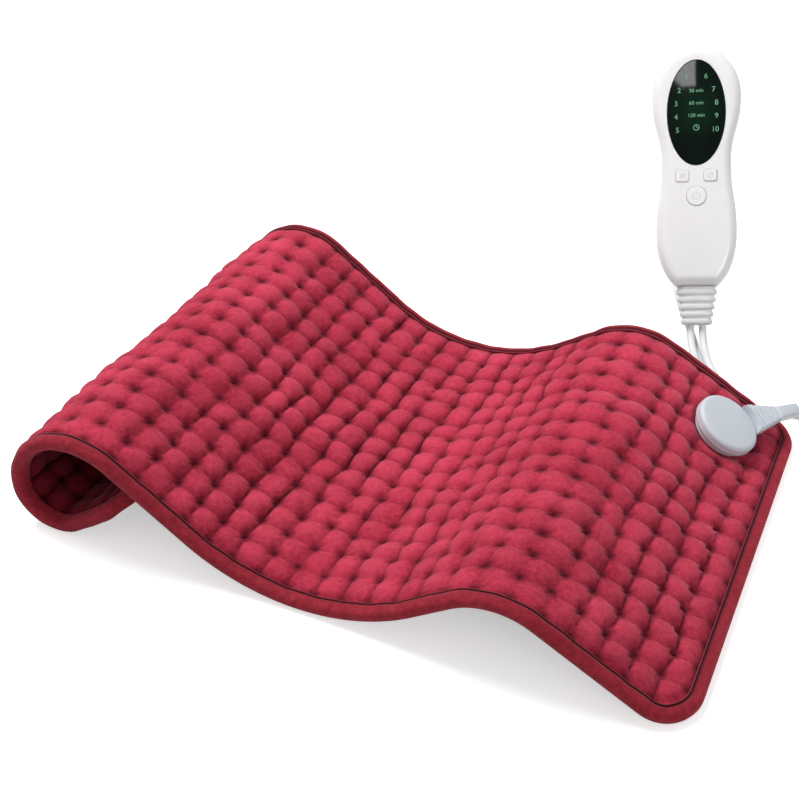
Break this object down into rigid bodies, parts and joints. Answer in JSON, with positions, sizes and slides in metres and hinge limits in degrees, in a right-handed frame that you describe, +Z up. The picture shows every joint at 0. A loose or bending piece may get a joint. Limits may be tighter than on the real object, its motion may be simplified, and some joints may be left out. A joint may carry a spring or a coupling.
{
  "type": "heating pad with hand controller",
  "caption": "Quilted fabric heating pad, waved and rolled at one end, with a round plug-on connector, a hand controller with display and push buttons, and a mains lead with plug.",
  "frame": {"origin": "middle of the foot of the box round the pad and the controller, without the leads", "axes": "+X along the pad from its rolled end to its flat end, +Y across the pad towards the controller, +Z up"},
  "size_m": [0.558, 0.6507, 0.1927],
  "materials": {
    "plush_cover": "short velvet pile, quilted",
    "binding_tape": "woven tape, folded and stitched",
    "felt": "needled felt",
    "wire_coat": "smooth silicone",
    "grey_plastic": "satin moulded",
    "white_plastic": "polished moulded",
    "lead_sheath": "smooth flexible sheath",
    "display_lens": "tinted clear lens",
    "circuit_board": "solder mask",
    "dark_plastic": "moulded",
    "capacitor_case": "moulded",
    "steel": "plain",
    "brass": "plain"
  },
  "bodies": {
    "pad_and_controller": {"pad_top_cover": "plush_cover", "pad_bottom_cover": "plush_cover", "edge_binding": "binding_tape", "upper_felt": "felt", "element_carrier": "felt", "heating_wire": "wire_coat", "thermal_cutout_1": "dark_plastic", "thermal_cutout_2": "dark_plastic", "socket_plate": "steel", "socket_base": "grey_plastic", "contact_pin_1": "brass", "contact_pin_2": "brass", "contact_pin_3": "brass", "front_shell": "white_plastic", "rear_shell": "white_plastic", "housing_screw_1": "steel", "housing_screw_2": "steel", "housing_screw_3": "steel", "housing_screw_4": "steel", "display_window": "display_lens", "display_board": "circuit_board", "main_board": "circuit_board", "display_connector": "dark_plastic", "tact_switch_1": "dark_plastic", "tact_switch_2": "dark_plastic", "tact_switch_3": "dark_plastic", "triac": "dark_plastic", "capacitor": "capacitor_case", "fuse": "steel", "terminal_block": "circuit_board", "controller_strain_relief": "lead_sheath", "mains_cores": "dark_plastic", "pad_cores": "dark_plastic", "pad_lead_out": "lead_sheath", "pad_lead_coil": "lead_sheath", "pad_lead_back": "lead_sheath", "coil_tie": "lead_sheath", "mains_lead_loop": "lead_sheath", "mains_lead_hank": "lead_sheath", "hank_tie": "lead_sheath", "mains_lead_end": "lead_sheath", "plug_strain_relief": "lead_sheath", "plug_body": "lead_sheath", "plug_blade_1": "brass", "plug_blade_2": "brass"},
    "connector": {"connector_lower_shell": "grey_plastic", "connector_upper_shell": "grey_plastic", "contact_sleeve_1": "brass", "contact_sleeve_2": "brass", "contact_sleeve_3": "brass", "connector_screw_1": "steel", "connector_screw_2": "steel", "connector_strain_relief": "grey_plastic"},
    "heat_button": {"heat_button": "white_plastic"},
    "timer_button": {"timer_button": "white_plastic"},
    "power_button": {"power_button": "white_plastic"}
  },
  "joints": [
    {"name": "connector_pull", "type": "slide", "parent": "pad_and_controller", "child": "connector", "axis": [0.4938, 0.0024, 0.8695], "range_m": [0, 0.01], "deforming": ["pad_lead_out"]},
    {"name": "heat_press", "type": "slide", "parent": "pad_and_controller", "child": "heat_button", "axis": [0.1242, -0.7883, 0.6027], "range_m": [-0.0008, 0], "stiffness_N_per_m": 2500},
    {"name": "timer_press", "type": "slide", "parent": "pad_and_controller", "child": "timer_button", "axis": [0.1242, -0.7883, 0.6027], "range_m": [-0.0008, 0], "stiffness_N_per_m": 2500},
    {"name": "power_press", "type": "slide", "parent": "pad_and_controller", "child": "power_button", "axis": [0.1242, -0.7883, 0.6027], "range_m": [-0.0008, 0], "stiffness_N_per_m": 2500}
  ]
}
